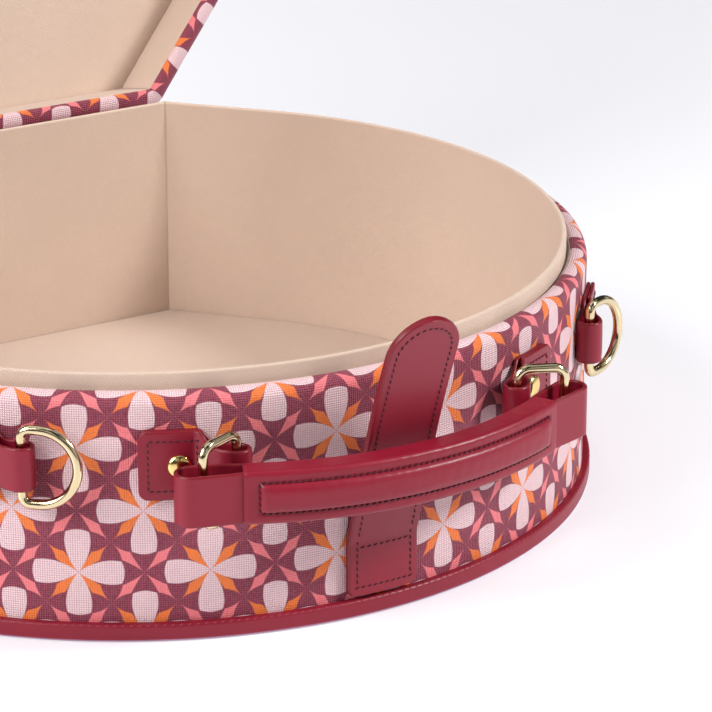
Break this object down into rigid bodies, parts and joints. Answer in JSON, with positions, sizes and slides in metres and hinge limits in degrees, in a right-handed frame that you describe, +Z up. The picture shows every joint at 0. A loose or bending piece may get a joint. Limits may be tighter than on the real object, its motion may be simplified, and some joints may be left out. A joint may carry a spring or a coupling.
{
  "type": "hat box",
  "caption": "Round hat box with a flat hinged back, a padded printed wall, a lined inside, a strap flap closure, a front carrying handle on rings and side D rings.",
  "frame": {"origin": "centre of the round front's arc, on the underside of the base", "axes": "+Z up from the base, -Y towards the closing flap and handle, +Y towards the flat hinged back"},
  "size_m": [0.4066, 0.5396, 0.4733],
  "materials": {
    "canvas": "satin",
    "trim_leather": "satin",
    "lining_cloth": "matte",
    "greyboard": "matte",
    "wadding": "matte",
    "pale_brass": "polished",
    "base_cloth": "matte",
    "magnet_steel": "satin"
  },
  "bodies": {
    "base": {"base_cover": "base_cloth", "base_board": "greyboard", "floor_lining": "lining_cloth", "outer_cover": "canvas", "wall_padding": "wadding", "wall_board": "greyboard", "collar_board": "greyboard", "wall_lining": "lining_cloth", "bottom_trim": "trim_leather", "stud_washers": "magnet_steel", "hinge_leaf_base": "trim_leather", "closure_foot": "trim_leather", "handle_tab_left": "trim_leather", "handle_tab_right": "trim_leather", "handle_stud_left": "pale_brass", "handle_stud_right": "pale_brass", "dee_tab_left": "trim_leather", "dee_tab_right": "trim_leather", "dee_stud_left": "pale_brass", "dee_stud_right": "pale_brass"},
    "lid": {"lid_cover": "canvas", "lid_padding": "wadding", "lid_rim_board": "greyboard", "lid_top_board": "greyboard", "lid_rim_lining": "lining_cloth", "lid_top_lining": "lining_cloth", "lid_trim": "trim_leather", "lid_magnet": "magnet_steel", "hinge_leaf_lid": "trim_leather"},
    "flap": {"closure_flap": "trim_leather", "flap_magnet": "magnet_steel"},
    "handle": {"handle_sleeve": "trim_leather", "handle_core": "wadding", "handle_end_left": "trim_leather", "handle_end_right": "trim_leather"},
    "handle_ring_left": {"handle_ring_left": "pale_brass"},
    "handle_ring_right": {"handle_ring_right": "pale_brass"},
    "dee_ring_left": {"dee_ring_left": "pale_brass"},
    "dee_ring_right": {"dee_ring_right": "pale_brass"}
  },
  "joints": [
    {"name": "lid_hinge", "type": "hinge", "parent": "base", "child": "lid", "pos_m": [0, 0.17745, 0.10615], "axis": [1, 0, 0], "range_deg": [0, 102.8]},
    {"name": "flap_fold", "type": "hinge", "parent": "base", "child": "flap", "pos_m": [0, -0.2018, 0.033], "axis": [1, 0, 0], "range_deg": [-16, 1]},
    {"name": "handle_pull", "type": "slide", "parent": "base", "child": "handle", "axis": [0, -1, 0], "range_m": [0, 0.006]},
    {"name": "handle_ring_left_swing", "type": "hinge", "parent": "base", "child": "handle_ring_left", "pos_m": [-0.06762, -0.19977, 0.0754], "axis": [0, 0, 1], "range_deg": [0, 19.5]},
    {"name": "handle_ring_right_swing", "type": "hinge", "parent": "base", "child": "handle_ring_right", "pos_m": [0.06762, -0.19977, 0.0754], "axis": [0, 0, 1], "range_deg": [-19.5, 0]},
    {"name": "dee_ring_left_swing", "type": "hinge", "parent": "base", "child": "dee_ring_left", "pos_m": [-0.13963, -0.15132, 0.0768], "axis": [0, 0, 1], "range_deg": [-165, 8]},
    {"name": "dee_ring_right_swing", "type": "hinge", "parent": "base", "child": "dee_ring_right", "pos_m": [0.13963, -0.15132, 0.0768], "axis": [0, 0, 1], "range_deg": [-167, 6]}
  ],
  "couplings": [
    {"joint": "handle_ring_left_swing", "follows": "handle_pull", "rad_per_m": 55.85},
    {"joint": "handle_ring_right_swing", "follows": "handle_pull", "rad_per_m": -55.85}
  ]
}
